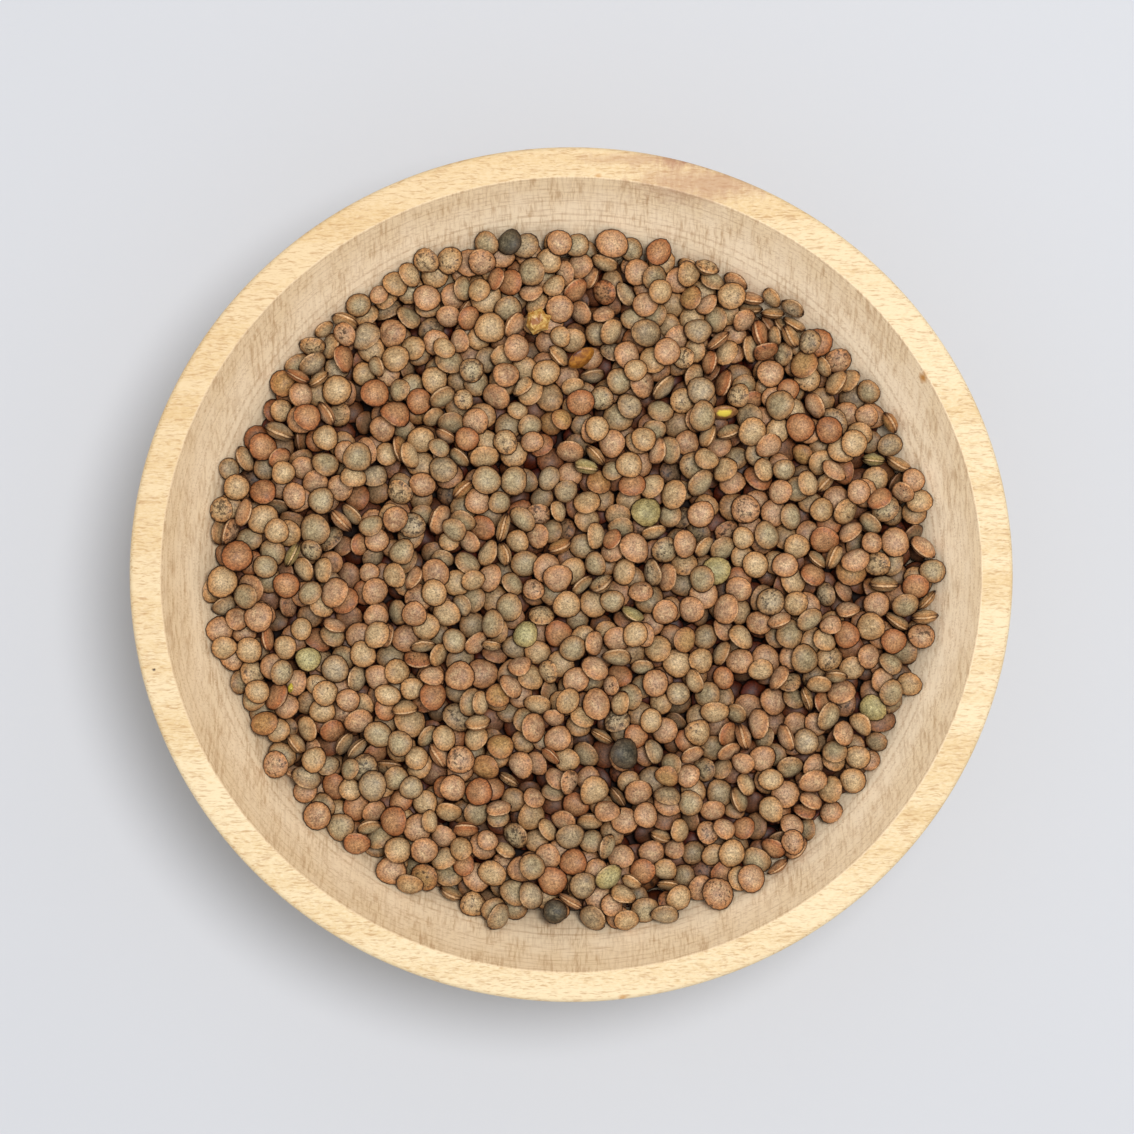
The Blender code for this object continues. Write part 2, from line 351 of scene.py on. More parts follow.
    def streaked_wall(self, tree: Tree, place: Socket) -> tuple[Socket, Socket]:
        """Draws the hollow: streaks across the grain, the tool's hatching, a paler tone lower down
        that is partly painted light, and painted light and shade from side to side.

        Args:
            tree: the material's tree.
            place: Object coordinates.

        Returns:
            The colour and the height.
        """
        height = add_node(tree, "ShaderNodeSeparateXYZ", (place,)).outputs["Z"]
        share = self.streak_mm / self.streak_length_mm
        streaks = self.stretched_noise(tree, place, (1.0, share, share), self.streak_mm, 3.0)
        clouds = self.stretched_noise(tree, place, (1.0, 0.35, 0.6), self.cloud_mm)
        turning = add_node(
            tree, "ShaderNodeTexNoise",
            {"W": height, "Scale": 1 / (self.tool_mm * MM), "Detail": 2.0, "Roughness": 0.6},
            noise_dimensions="1D",
        ).outputs["Fac"]
        # Paler lower down, next to the lentils: partly the wood's tone, partly painted light.
        rising = add_node(tree, "ShaderNodeMapRange", (height, *self.wall_tone_and_light)).outputs[0]
        cloudy = add_node(tree, "ShaderNodeMapRange", (clouds, *self.wall_clouds)).outputs[0]
        toned = add_node(
            tree, "ShaderNodeMath", (rising, cloudy), operation="ADD", use_clamp=True
        ).outputs[0]
        base = add_node(
            tree, "ShaderNodeMix", {0: toned, 6: linear(self.wall_pale_and_painted_light), 7: linear(self.wall)},
            data_type="RGBA",
        ).outputs[2]
        share = self.hatch_mm / self.streak_length_mm
        hatch = self.stretched_noise(tree, place, (share, 1.0, 1.0), self.hatch_mm, 3.0)
        crossed = add_node(
            tree, "ShaderNodeMath", (turning, self.turning_weight, hatch), operation="MULTIPLY_ADD"
        ).outputs[0]
        lined = add_node(tree, "ShaderNodeMapRange", (crossed, *self.hatch_show)).outputs[0]
        base = add_node(
            tree, "ShaderNodeMix", {0: lined, 6: base, 7: linear(self.streak)}, data_type="RGBA"
        ).outputs[2]
        fine = add_node(tree, "ShaderNodeMapRange", (streaks, *self.streak_show)).outputs[0]
        strength = add_node(tree, "ShaderNodeMapRange", (clouds, *self.streak_clouds)).outputs[0]
        shown = add_node(tree, "ShaderNodeMath", (fine, strength), operation="MULTIPLY").outputs[0]
        marks = add_node(tree, "ShaderNodeMath", (1.0, shown), operation="SUBTRACT").outputs[0]
        streaked = add_node(
            tree, "ShaderNodeMix", {0: shown, 6: base, 7: linear(self.streak)}, data_type="RGBA"
        ).outputs[2]
        # Painted light and shade: the hollow is lighter towards one side and darker towards the
        # other.
        along = add_node(
            tree, "ShaderNodeVectorMath", (place, self.painted_light_way), operation="DOT_PRODUCT"
        ).outputs["Value"]
        near, far = (-self.painted_light_reach,) * 3, (self.painted_light_reach,) * 3
        painted_light = add_node(
            tree, "ShaderNodeMapRange",
            {6: along, 7: near, 8: far, 9: self.painted_light_low, 10: self.painted_light_high},
            data_type="FLOAT_VECTOR",
        ).outputs[1]
        hollow = add_node(
            tree, "ShaderNodeVectorMath", (streaked, painted_light), operation="MULTIPLY"
        ).outputs[0]
        return hollow, marks

    def flaws(self, tree: Tree, place: Socket, wood: Socket) -> Socket:
        """Lays the patch of heartwood, the stains and the dark pin knot over the wood.

        Args:
            tree: the material's tree.
            place: Object coordinates.
            wood: the colour so far.

        Returns:
            The colour with the flaws.
        """
        ragged = self.stretched_noise(tree, place, (1.0, 0.35, 1.0), self.ragged_mm, 4.0)
        # Each flaw's centre, half size, colour and strength.
        spots = (
            ((0.0240, 0.0708, 0.052), (0.0150, 0.0042, 0.012), self.heartwood, 0.60),
            ((0.0225, 0.0752, 0.052), (0.0075, 0.0018, 0.010), self.heartwood, 0.85),
            ((0.0120, 0.0752, 0.052), (0.0120, 0.0014, 0.010), self.heartwood, 0.45),
            ((0.0638, 0.0357, 0.052), (0.0009, 0.0013, 0.004), self.stain, 0.95),
            ((0.0093, -0.0765, 0.052), (0.0009, 0.0006, 0.004), self.stain, 0.60),
            ((0.0048, 0.0722, 0.052), (0.0008, 0.0005, 0.004), self.stain, 0.50),
            ((-0.0755, -0.0172, 0.052), (0.00045, 0.00035, 0.004), self.knot, 1.00),
        )
        for centre, spread, colour, strength in spots:
            far = length_from(tree, place, centre, spread)
            broken = add_node(
                tree, "ShaderNodeMath", (ragged, self.flaw_ragged, far), operation="MULTIPLY_ADD"
            ).outputs[0]
            amount = add_node(
                tree, "ShaderNodeMapRange", (broken, *self.flaw_edge, strength, 0.0)
            ).outputs[0]
            wood = add_node(
                tree, "ShaderNodeMix", {0: amount, 6: wood, 7: linear(colour)}, data_type="RGBA"
            ).outputs[2]
        return wood


@dataclass(frozen=True)
class TurnedBowl:
    """The bowl: its section turned about Z, then drawn in across the grain."""

    rim_radius: float = 0.0800
    oval: float = 0.968
    rim_width: float = 0.0058
    height: float = 0.0520
    depth: float = 0.0440
    outer_round: float = 0.0009
    inner_round: float = 0.00025
    foot_radius: float = 0.0390
    foot_height: float = 0.0030
    foot_bevel: float = 0.0008
    steps: int = 256
    hollow_points: int = 40
    side_points: int = 28
    wood: BowlWood = BowlWood()

    @property
    def mouth_radius(self) -> float:
        """Radius of the rim's inner edge."""
        return self.rim_radius - self.rim_width

    @property
    def hollow_radius(self) -> float:
        """Radius of the sphere that the hollow is part of."""
        return (self.mouth_radius**2 + self.depth**2) / (2 * self.depth)

    @property
    def hollow_centre(self) -> float:
        """Height of that sphere's centre."""
        return self.height - self.depth + self.hollow_radius

    def wall_radius(self, z: float, gap: float = 0.0) -> float:
        """Radius of the hollow at a height, less a gap to the wall."""
        return math.sqrt((self.hollow_radius - gap) ** 2 - (self.hollow_centre - z) ** 2)

    def hollow_section(self, points: int, gap: float = 0.0, top: float | None = None) -> list:
        """The hollow's section from the bottom up.

        Args:
            points: how many points it has.
            gap: the distance kept from the wall.
            top: the height that it ends at, or None for the rim.

        Returns:
            Points (r, z).
        """
        radius = self.hollow_radius - gap
        edge = self.wall_radius(self.height if top is None else top, gap)
        last = math.asin(edge / radius)
        angles = [last * i / (points - 1) for i in range(points)]
        return [(radius * math.sin(a), self.hollow_centre - radius * math.cos(a)) for a in angles]

    def section(self) -> list[tuple[float, float]]:
        """The whole section, up the hollow, over the rim and down the outside, as points (r, z)."""
        hollow = self.hollow_section(self.hollow_points)[:-1]
        inner = [
            (self.mouth_radius + self.inner_round * (1 - math.cos(a)),
             self.height - self.inner_round * (1 - math.sin(a)))
            for a in (math.pi / 2 * i / 4 for i in range(1, 5))
        ]
        level = [(self.mouth_radius + self.rim_width * i / 5, self.height) for i in range(1, 4)]
        corner_r, corner_z = self.rim_radius - self.outer_round, self.height - self.outer_round
        outer = [
            (corner_r + self.outer_round * math.sin(a), corner_z + self.outer_round * math.cos(a))
            for a in (math.pi / 2 * i / 8 for i in range(9))
        ]
        r_top, z_top = outer[-1]
        r_foot, z_foot = self.foot_radius, self.foot_height
        centre = (r_top**2 + z_top**2 - r_foot**2 - z_foot**2) / (2 * (z_top - z_foot))
        radius = math.hypot(r_top, z_top - centre)
        start = math.atan2(z_top - centre, r_top)
        end = math.atan2(z_foot - centre, r_foot)
        side = [
            (radius * math.cos(a), centre + radius * math.sin(a))
            for a in (
                start + (end - start) * i / self.side_points
                for i in range(1, self.side_points + 1)
            )
        ]
        bevel = self.foot_bevel
        foot = [
            (r_foot - bevel, z_foot - bevel),
            (r_foot - bevel, bevel),
            (r_foot - 2 * bevel, 0.0),
            (r_foot * 0.5, 0.0),
            (0.0, 0.0),
        ]
        return hollow + inner + level + outer + side + foot

    def build(self) -> None:
        """Turns the section and dresses it."""
        mesh = turned_mesh("turned_bowl", self.section(), self.steps, self.oval)
        mesh.materials.append(self.wood.material())
        place_piece(mesh_object("turned_bowl", mesh), "bowl", "turned maple")


def turned_mesh(
    name: str, section: list[tuple[float, float]], steps: int, oval: float
) -> bpy.types.Mesh:
    """Turns a section about Z into a closed, smooth mesh.

    Args:
        name: the mesh's name.
        section: points (r, z), with both ends on the axis, inner side first.
        steps: faces around.
        oval: the width across Y as a share of that along X.

    Returns:
        The mesh.
    """
    shape = bmesh.new()
    rings = []
    for r, z in section[1:-1]:
        turns = [2 * math.pi * k / steps for k in range(steps)]
        rings.append([shape.verts.new((r * math.cos(a), oval * r * math.sin(a), z)) for a in turns])
    first = shape.verts.new((0.0, 0.0, section[0][1]))
    last = shape.verts.new((0.0, 0.0, section[-1][1]))
    for k in range(steps):
        after = (k + 1) % steps
        shape.faces.new((first, rings[0][k], rings[0][after]))
        shape.faces.new((last, rings[-1][after], rings[-1][k]))
        for low, high in zip(rings, rings[1:]):
            shape.faces.new((low[k], high[k], high[after], low[after]))
    bmesh.ops.recalc_face_normals(shape, faces=shape.faces)
    for face in shape.faces:
        face.smooth = True
    mesh = bpy.data.meshes.new(name)
    shape.to_mesh(mesh)
    shape.free()
    mesh.set_sharp_from_angle(angle=math.radians(SHARP_DEGREES))
    return mesh


# ---------------------------------------------------------------- the heap


@dataclass(frozen=True)
class HeapLevel:
    """The heap's level: tilted a little, rising to the middle, and higher at the ends of the grain.

    Along the wall it also sways, as it does where the photograph shows lentils reach further up.
    """

    at_wall: float = 0.0408
    rise: float = 0.0018
    tilt_x: float = 0.0085
    tilt_y: float = -0.0290
    saddle: float = 0.0013
    sways: tuple[tuple[int, float, float], ...] = (
        (2, 0.0011, -0.785),
        (3, 0.0005, 0.548),
        (4, 0.0008, 0.032),
    )

    def height(self, x: float, y: float, bowl: TurnedBowl) -> float:
        """Height of the level at a place.

        Args:
            x: place along the grain.
            y: place across the grain, where the oval is allowed for.
            bowl: the bowl that holds the heap.

        Returns:
            The height above the table.
        """
        y = y / bowl.oval
        radius = bowl.wall_radius(self.at_wall)
        share = min(math.hypot(x, y) / radius, 1.0)
        turn = math.atan2(y, x)
        sway = sum(size * math.cos(count * (turn - start)) for count, size, start in self.sways)
        lean = self.tilt_x * x + self.tilt_y * y + self.saddle * (x * x - y * y) / radius**2
        return self.at_wall + lean + self.rise * (1 - share**2) + sway * share**3


@dataclass(frozen=True)
class HeapCore:
    """The hidden inside of the heap: a rough solid that fits the hollow under the lentils."""

    bowl: TurnedBowl
    level: HeapLevel
    below: float = 0.0052
    gap: float = 0.0005
    roughness: float = 0.0007
    steps: int = 72
    rings: int = 15
    side_points: int = 9
    seed: int = 3

    def build(self) -> bpy.types.Object:
        """Meshes the core: a top of rings with seeded heights, and a side down the wall.

        Returns:
            The core.
        """
        draw = random.Random(self.seed)
        top_z = self.level.at_wall - self.below
        edge = self.bowl.wall_radius(top_z, self.gap)
        side = self.bowl.hollow_section(self.side_points, self.gap, top_z)[::-1]
        top = [(edge * i / self.rings, top_z) for i in range(self.rings)]
        mesh = turned_mesh("heap_core", top + side, self.steps, self.bowl.oval)
        for vertex in mesh.vertices:
            x, y, z = vertex.co
            if z > top_z - 1e-6:
                rough = draw.uniform(-self.roughness, self.roughness)
                share = math.hypot(x, y / self.bowl.oval) / edge
                inset = self.edge_inset(x, y, top_z) if share > 0.999 else 0.0
                z = self.level.height(x, y, self.bowl) - self.below + rough
                vertex.co = (x * (1 - inset), y * (1 - inset), z)
        core = mesh_object("heap_core", mesh)
        # The core's finish is painted shade, the dark between the lentils.
        mesh.materials.append(PaintedShadeCore().material())
        place_piece(core, "lentils", "core under the lentils")
        return core

    def edge_inset(self, x: float, y: float, top_z: float) -> float:
        """Share by which an edge point moves in, to keep the gap where the level is lower."""
        z = self.level.height(x, y, self.bowl) - self.below - self.roughness
        lower, upper = (self.bowl.wall_radius(at, self.gap) for at in (min(z, top_z), top_z))
        return max(0.0, 1 - lower / upper)


@dataclass(frozen=True)
class PaintedShadeCore:
    """Painted shade: a dark, red-brown, broken surface with no gloss, standing for lentils deep in
    shade.
    """

    dark: str = "#160803"
    brown: str = "#2C1208"
    lump_mm: float = 2.6
    roughness: float = 0.9
    ior: float = 1.45

    def material(self) -> bpy.types.Material:
        """Builds the finish from Object coordinates."""
        material, shader = new_finish("shaded_lentils", self.roughness, self.ior)
        tree = material.node_tree
        place = add_node(tree, "ShaderNodeTexCoord").outputs["Object"]
        lumps = add_node(
            tree, "ShaderNodeTexVoronoi", {"Vector": place, "Scale": 1 / (self.lump_mm * MM)}
        ).outputs["Distance"]
        ramp = add_node(tree, "ShaderNodeValToRGB", (lumps,), ((0.1, self.brown), (0.6, self.dark)))
        tree.links.new(ramp.outputs[0], shader.inputs["Base Color"])
        return material


@dataclass
class Lie:
    """How lentils lie: one row for each, in metres."""

    places: np.ndarray
    turns: np.ndarray
    sizes: np.ndarray

    def kept(self, mask: np.ndarray) -> "Lie":
        """The rows where the mask holds."""
        return Lie(self.places[mask], self.turns[mask], self.sizes[mask])


@dataclass(frozen=True)
class Pour:
    """Lentils poured into the bowl over the core, with rigid bodies in millimetres."""

    bowl: TurnedBowl
    level: HeapLevel
    count: int = 1750
    seed: int = 7
    diameter_mm: float = 5.2
    spread_mm: float = 0.42
    least_mm: float = 4.2
    most_mm: float = 6.3
    thickness: tuple[float, float] = (0.42, 0.52)
    oval: tuple[float, float] = (0.90, 1.0)
    cell_mm: float = 6.4
    layer_mm: float = 6.0
    start_mm: float = 45.0
    start_clear_mm: float = 3.4
    start_jitter_mm: float = 0.3
    row_pitch: float = 0.87
    cells_each_way: int = 13
    holder_top: float = 0.2
    holder_steps: int = 96
    frames: int = 44
    substeps: int = 6
    solver_rounds: int = 10
    gravity_mm: float = 150.0
    friction: float = 0.65
    margin_mm: float = 0.02
    damping: tuple[float, float] = (0.15, 0.30)
    scatter_radius: float = 0.0650
    scatter_depth: float = 0.0045
    scatter_tilt: float = 0.35

    def drawn_sizes(self, draw: random.Random) -> list[Triple]:
        """Half sizes of the lentils, in millimetres."""
        sizes = []
        for _ in range(self.count):
            across = draw.gauss(self.diameter_mm, self.spread_mm)
            half = min(max(across, self.least_mm), self.most_mm) / 2
            oval, thickness = draw.uniform(*self.oval), draw.uniform(*self.thickness)
            sizes.append((half, half * oval, half * thickness))
        return sizes

    def start_cells(self, draw: random.Random) -> list[Triple]:
        """Places that the lentils start from, in millimetres: layers of cells over the bowl."""
        cells: list[Triple] = []
        height = self.start_mm
        reach = self.bowl.wall_radius(self.start_mm * MM) / MM - self.start_clear_mm
        around = range(-self.cells_each_way, self.cells_each_way + 1)
        while len(cells) < self.count:
            layer = []
            for i in around:
                for j in around:
                    x = (i + 0.5 * (j % 2)) * self.cell_mm
                    y = j * self.cell_mm * self.row_pitch
                    if math.hypot(x, y / self.bowl.oval) < reach:
                        jitter = draw.uniform(-self.start_jitter_mm, self.start_jitter_mm)
                        layer.append((x, y, height + jitter))
            draw.shuffle(layer)
            cells += layer
            height += self.layer_mm
        return cells[: self.count]

    def holder(self) -> bpy.types.Object:
        """The hollow as a thin surface in millimetres, drawn up above the rim."""
        section = self.bowl.hollow_section(16)[1:] + [(self.bowl.mouth_radius, self.holder_top)]
        shape = bmesh.new()
        steps = self.holder_steps
        turns = [2 * math.pi * k / steps for k in range(steps)]
        rings = []
        for r, z in section:
            places = (
                (r * math.cos(a) / MM, self.bowl.oval * r * math.sin(a) / MM, z / MM) for a in turns
            )
            rings.append([shape.verts.new(place) for place in places])
        for low, high in zip(rings, rings[1:]):
            for k in range(steps):
                after = (k + 1) % steps
                shape.faces.new((low[k], high[k], high[after], low[after]))
        mesh = bpy.data.meshes.new("holder")
        shape.to_mesh(mesh)
        shape.free()
        return mesh_object("holder", mesh)

    def settle(self, core: bpy.types.Object, lens: bpy.types.Mesh) -> Lie:
        """Lets the lentils fall and come to rest.

        Args:
            core: the heap's core.
            lens: a lentil of unit half sizes, for its hull.

        Returns:
            How they lie.
        """
        scene = bpy.context.scene
        draw = random.Random(self.seed)
        cells, sizes = self.start_cells(draw), self.drawn_sizes(draw)
        floor_mesh = core.data.copy()
        floor_mesh.transform(Matrix.Scale(1 / MM, 4))
        still = [self.holder(), mesh_object("pour_floor", floor_mesh)]
        bodies = []
        for cell, size in zip(cells, sizes):
            body = mesh_object("falling", lens)
            body.location = cell
            body.rotation_euler = [draw.uniform(0, 2 * math.pi) for _ in range(3)]
            body.scale = size
            bodies.append(body)
        bpy.context.view_layer.update()
        bpy.ops.rigidbody.world_add()
        world = scene.rigidbody_world
        world.substeps_per_frame = self.substeps
        world.solver_iterations = self.solver_rounds
        world.point_cache.frame_start = 1
        world.point_cache.frame_end = self.frames + 2
        earth = tuple(scene.gravity)
        scene.gravity = (0.0, 0.0, -self.gravity_mm)
        self.make_rigid(still, "PASSIVE", "MESH")
        self.make_rigid(bodies, "ACTIVE", "CONVEX_HULL")
        for moment in range(1, self.frames + 1):
            scene.frame_set(moment)
        graph = bpy.context.evaluated_depsgraph_get()
        rested = [body.evaluated_get(graph).matrix_world.copy() for body in bodies]
        bpy.ops.rigidbody.world_remove()
        scene.frame_set(1)
        scene.gravity = earth
        for thing in still + bodies:
            bpy.data.objects.remove(thing, do_unlink=True)
        places = np.array([m.translation for m in rested]) * MM
        turns = np.array([m.to_quaternion() for m in rested])
        return Lie(places, turns, np.array(sizes) * MM)

    def make_rigid(self, things: list, role: str, form: str) -> None:
        """Makes objects rigid bodies.

        Args:
            things: the objects.
            role: ACTIVE or PASSIVE.
            form: the collision shape's name.
        """
        for other in bpy.context.selected_objects:
            other.select_set(False)
        for thing in things:
            thing.select_set(True)
        bpy.context.view_layer.objects.active = things[0]
        bpy.ops.rigidbody.objects_add(type=role)
        for thing in things:
            rigid = thing.rigid_body
            rigid.collision_shape = form
            rigid.friction = self.friction
            rigid.restitution = 0.0
            rigid.use_margin = True
            rigid.collision_margin = self.margin_mm
            rigid.linear_damping, rigid.angular_damping = self.damping
            thing.select_set(False)


@dataclass(frozen=True)
class LentilShape:
    """One lentil of unit half sizes: a lens with a fine edge, of a few dozen faces."""

    sides: int = 14
    profile: tuple[tuple[float, float], ...] = ((0.93, 0.20), (0.62, 0.68))
    dent: float = 0.0
    warp: float = 0.0
    lobes: tuple[float, float] = (0.0, 0.0)
    dent_at: tuple[float, float] = (0.3, -0.15)
    dent_spread: float = 0.18

    def mesh(self, name: str) -> bpy.types.Mesh:
        """Meshes the lentil. Two attributes keep each point's place and its share of the way out.

        Args:
            name: the mesh's name.

        Returns:
            The mesh.
        """
        shape = bmesh.new()
        levels = [(0.0, 1.0), *self.profile[::-1], (1.0, 0.0)]
        levels += [(r, -z) for r, z in levels[2::-1]]
        rings, reach = [], []
        for r, z in levels:
            turns = [2 * math.pi * k / self.sides for k in range(self.sides if r else 1)]
            rings.append([shape.verts.new(self.bent(r, z, a)) for a in turns])
            reach += [r] * len(turns)
        for high, low in zip(rings, rings[1:]):
            for k in range(self.sides):
                after = (k + 1) % self.sides
                ends = ((high, k), (low, k), (low, after), (high, after))
                shape.faces.new(dict.fromkeys(ring[at % len(ring)] for ring, at in ends))
        bmesh.ops.recalc_face_normals(shape, faces=shape.faces)
        for face in shape.faces:
            face.smooth = True
        mesh = bpy.data.meshes.new(name)
        shape.to_mesh(mesh)
        shape.free()
        own = mesh.attributes.new("lens", "FLOAT_VECTOR", "POINT")
        own.data.foreach_set("vector", [c for v in mesh.vertices for c in v.co])
        mesh.attributes.new("reach", "FLOAT", "POINT").data.foreach_set("value", reach)
        return mesh

    def bent(self, r: float, z: float, turn: float) -> Triple:
        """A point of the lens with its uneven outline, its dent and its warp."""
        r *= 1 + self.lobes[0] * math.cos(2 * turn) + self.lobes[1] * math.cos(3 * turn + 0.7)
        x, y = r * math.cos(turn), r * math.sin(turn)
        away = (x - self.dent_at[0]) ** 2 + (y - self.dent_at[1]) ** 2
        hollow = self.dent * math.exp(-away / self.dent_spread)
        side = 1.0 if z >= 0 else -1.0
        return x, y, z - side * hollow * min(abs(z) * 1.4, 1.0) + self.warp * (x * x - y * y)


# How often each shape comes up is its share. One in ten has a dent on both faces.
SHAPES = {
    LentilShape(lobes=(0.0, 0.02)): 0.28,
    LentilShape(warp=0.16, lobes=(0.035, 0.0)): 0.17,
    LentilShape(dent=0.40, lobes=(0.0, 0.035)): 0.10,
    LentilShape(profile=((0.92, 0.24), (0.58, 0.78)), warp=-0.12, lobes=(0.0, -0.025)): 0.20,
    LentilShape(profile=((0.94, 0.16), (0.66, 0.60)), lobes=(-0.025, 0.035)): 0.15,
    LentilShape(warp=-0.20, lobes=(-0.05, 0.03)): 0.10,
}


@dataclass(frozen=True)
class LentilSkin:
    """The dry seed coat of a lentil: matte with a faint satin.

    The crown is greyish with dust, the flank is warmer and cleaner, and a thin dark red-brown line
    runs round the edge, partly the coat's own and partly painted shade where the edge faces
    sideways.
    Where the coat faces sideways or down it is darkened as painted shade, a pale painted highlight
    runs along the edge where it faces up, and lentils that lie deep are darkened as painted shade.
    All of it is finely speckled, and some lentils have larger dark spots.
    """

    name: str
    crowns: tuple[str, str, str]
    flank: str
    # edge is the dark line at the rim, partly the coat's own and partly painted shade; ridge is a
    # painted highlight; under is painted shade on what faces sideways or down; shade is painted
    # shade on lentils that lie deep.
    edge: str = "#260C04"
    ridge: str = "#D2AC80"
    under: str = "#5C2A12"
    shade: str = "#6E381C"
    speckle: str = "#2E1C10"
    dust: str = "#CEB68C"
    spotted: float = 0.30
    gloss: float = 0.36
    roughness: float = 0.50
    ior: float = 1.46
    mottle_mm: float = 1.2
    grain_mm: float = 0.36
    spot_mm: float = 0.80
    relief: float = 0.00005
    flank_uneven: float = 0.7
    line_uneven: float = 0.06
    spot_least: tuple[float, float] = (0.78, 0.5)
    flank_blend: Span = (0.75, 1.25, 0.0, 1.0)
    dust_show: Span = (0.42, 0.7, 0.0, 0.6)
    dust_inward: Span = (0.35, 0.95, 1.0, 0.15)
    spot_show: Span = (0.0, 0.06, 0.0, 0.75)
    # side_shade, line_level, ridge_reach and ridge_level place painted shade and a painted
    # highlight by which way the coat faces.
    side_shade: Span = (0.05, 0.62, 0.38, 0.0)
    line_reach: Span = (0.896, 0.95, 0.0, 1.0)
    line_level: Span = (0.45, 0.9, 1.0, 0.0)
    ridge_reach: Span = (0.93, 0.985, 0.0, 0.85)
    ridge_level: Span = (0.6, 0.95, 0.0, 1.0)
    fine_speckle: Span = (0.34, 0.62, 0.2, 1.3)
    broad_mottle: Span = (0.35, 0.65, 0.76, 1.14)
    clean_flank: Span = (0.5, 0.9, 0.95, 1.1)

    def material(self) -> bpy.types.Material:
        """Builds the coat from Object coordinates and its attributes reach, tone, wear, depth."""
        material, shader = new_finish(self.name, self.roughness, self.ior)
        tree = material.node_tree
        place = add_node(tree, "ShaderNodeTexCoord").outputs["Object"]
        mottle = add_node(
            tree, "ShaderNodeTexNoise",
            {"Vector": place, "Scale": 1 / (self.mottle_mm * MM), "Detail": 3.0, "Roughness": 0.65},
        ).outputs["Fac"]
        grain = add_node(
            tree, "ShaderNodeTexNoise",
            {"Vector": place, "Scale": 1 / (self.grain_mm * MM), "Detail": 5.0, "Roughness": 0.85},
        ).outputs["Fac"]
        coat = self.dusted(tree, mottle)
        coat = self.spots(tree, place, coat)
        coat = self.lined(tree, mottle, coat)
        coat = self.shaded(tree, grain, mottle, coat)
        tree.links.new(coat, shader.inputs["Base Color"])
        shader.inputs["Specular IOR Level"].default_value = self.gloss
        bump = add_node(
            tree, "ShaderNodeBump", {"Strength": 0.5, "Distance": self.relief, "Height": grain}
        )
        tree.links.new(bump.outputs[0], shader.inputs["Normal"])
        return material

    def dusted(self, tree: Tree, mottle: Socket) -> Socket:
        """Blends the flank into the crown, and lays dust on the crown.

        Args:
            tree: the material's tree.
            mottle: coarse noise.

        Returns:
            The colour.
        """
        tone = add_node(tree, "ShaderNodeAttribute", attribute_name="tone").outputs["Fac"]
        reach = add_node(tree, "ShaderNodeAttribute", attribute_name="reach").outputs["Fac"]
        crown = add_node(
            tree, "ShaderNodeValToRGB", (tone,), tuple(zip((0.0, 0.5, 1.0), self.crowns))
        )
        uneven = add_node(
            tree, "ShaderNodeMath", (mottle, self.flank_uneven, reach), operation="MULTIPLY_ADD"
        ).outputs[0]
        outward = add_node(tree, "ShaderNodeMapRange", (uneven, *self.flank_blend)).outputs[0]
        coat = add_node(
            tree, "ShaderNodeMix", {0: outward, 6: crown.outputs[0], 7: linear(self.flank)},
            data_type="RGBA",
        ).outputs[2]
        dusty = add_node(tree, "ShaderNodeMapRange", (mottle, *self.dust_show)).outputs[0]
        inward = add_node(tree, "ShaderNodeMapRange", (reach, *self.dust_inward)).outputs[0]
        amount = add_node(tree, "ShaderNodeMath", (dusty, inward), operation="MULTIPLY").outputs[0]
        return add_node(
            tree, "ShaderNodeMix", {0: amount, 6: coat, 7: linear(self.dust)}, data_type="RGBA"
        ).outputs[2]

    def spots(self, tree: Tree, place: Socket, coat: Socket) -> Socket:
        """Adds dark spots to the lentils whose wear is high.

        Args:
            tree: the material's tree.
            place: Object coordinates.
            coat: the colour so far.

        Returns:
            The spotted colour.
        """
        wear = add_node(tree, "ShaderNodeAttribute", attribute_name="wear").outputs["Fac"]
        blots = add_node(
            tree, "ShaderNodeTexNoise",
            {"Vector": place, "Scale": 1 / (self.spot_mm * MM), "Detail": 3.0, "Roughness": 0.7},
        ).outputs["Fac"]
        least = add_node(
            tree, "ShaderNodeMapRange", (wear, 1.0 - self.spotted, 1.0, *self.spot_least)
        ).outputs[0]
        over = add_node(tree, "ShaderNodeMath", (blots, least), operation="SUBTRACT").outputs[0]
        amount = add_node(tree, "ShaderNodeMapRange", (over, *self.spot_show)).outputs[0]
        return add_node(
            tree, "ShaderNodeMix", {0: amount, 6: coat, 7: linear(self.speckle)}, data_type="RGBA"
        ).outputs[2]

    def lined(self, tree: Tree, mottle: Socket, coat: Socket) -> Socket:
        """Paints shade and highlight by which way the coat faces: painted shade where it faces
        sideways or down, a dark line at the edge, partly the coat's own and partly painted shade
        where it faces sideways, and a pale painted highlight along the edge where it faces up.

        Args:
            tree: the material's tree.
            mottle: coarse noise, which makes the line uneven.
            coat: the colour so far.

        Returns:
            The colour with the edge.
        """
        reach = add_node(tree, "ShaderNodeAttribute", attribute_name="reach").outputs["Fac"]
        normal = add_node(tree, "ShaderNodeNewGeometry").outputs["Normal"]
        up = add_node(tree, "ShaderNodeSeparateXYZ", (normal,)).outputs["Z"]
        uneven = add_node(
            tree, "ShaderNodeMath", (mottle, self.line_uneven, reach), operation="MULTIPLY_ADD"
        ).outputs[0]
        # Painted shade where the coat faces sideways or down, the edge line that is partly painted
        # shade, and a painted highlight along the edge where it faces up.
        layers = (
            (self.under, ((up, self.side_shade),)),
            (self.edge, ((uneven, self.line_reach), (up, self.line_level))),
            (self.ridge, ((reach, self.ridge_reach), (up, self.ridge_level))),
        )
        for colour, spans in layers:
            amount = 1.0
            for source, span in spans:
                share = add_node(tree, "ShaderNodeMapRange", (source, *span)).outputs[0]
                amount = add_node(
                    tree, "ShaderNodeMath", (amount, share), operation="MULTIPLY"
                ).outputs[0]
            coat = add_node(
                tree, "ShaderNodeMix", {0: amount, 6: coat, 7: linear(colour)}, data_type="RGBA"
            ).outputs[2]
        return coat

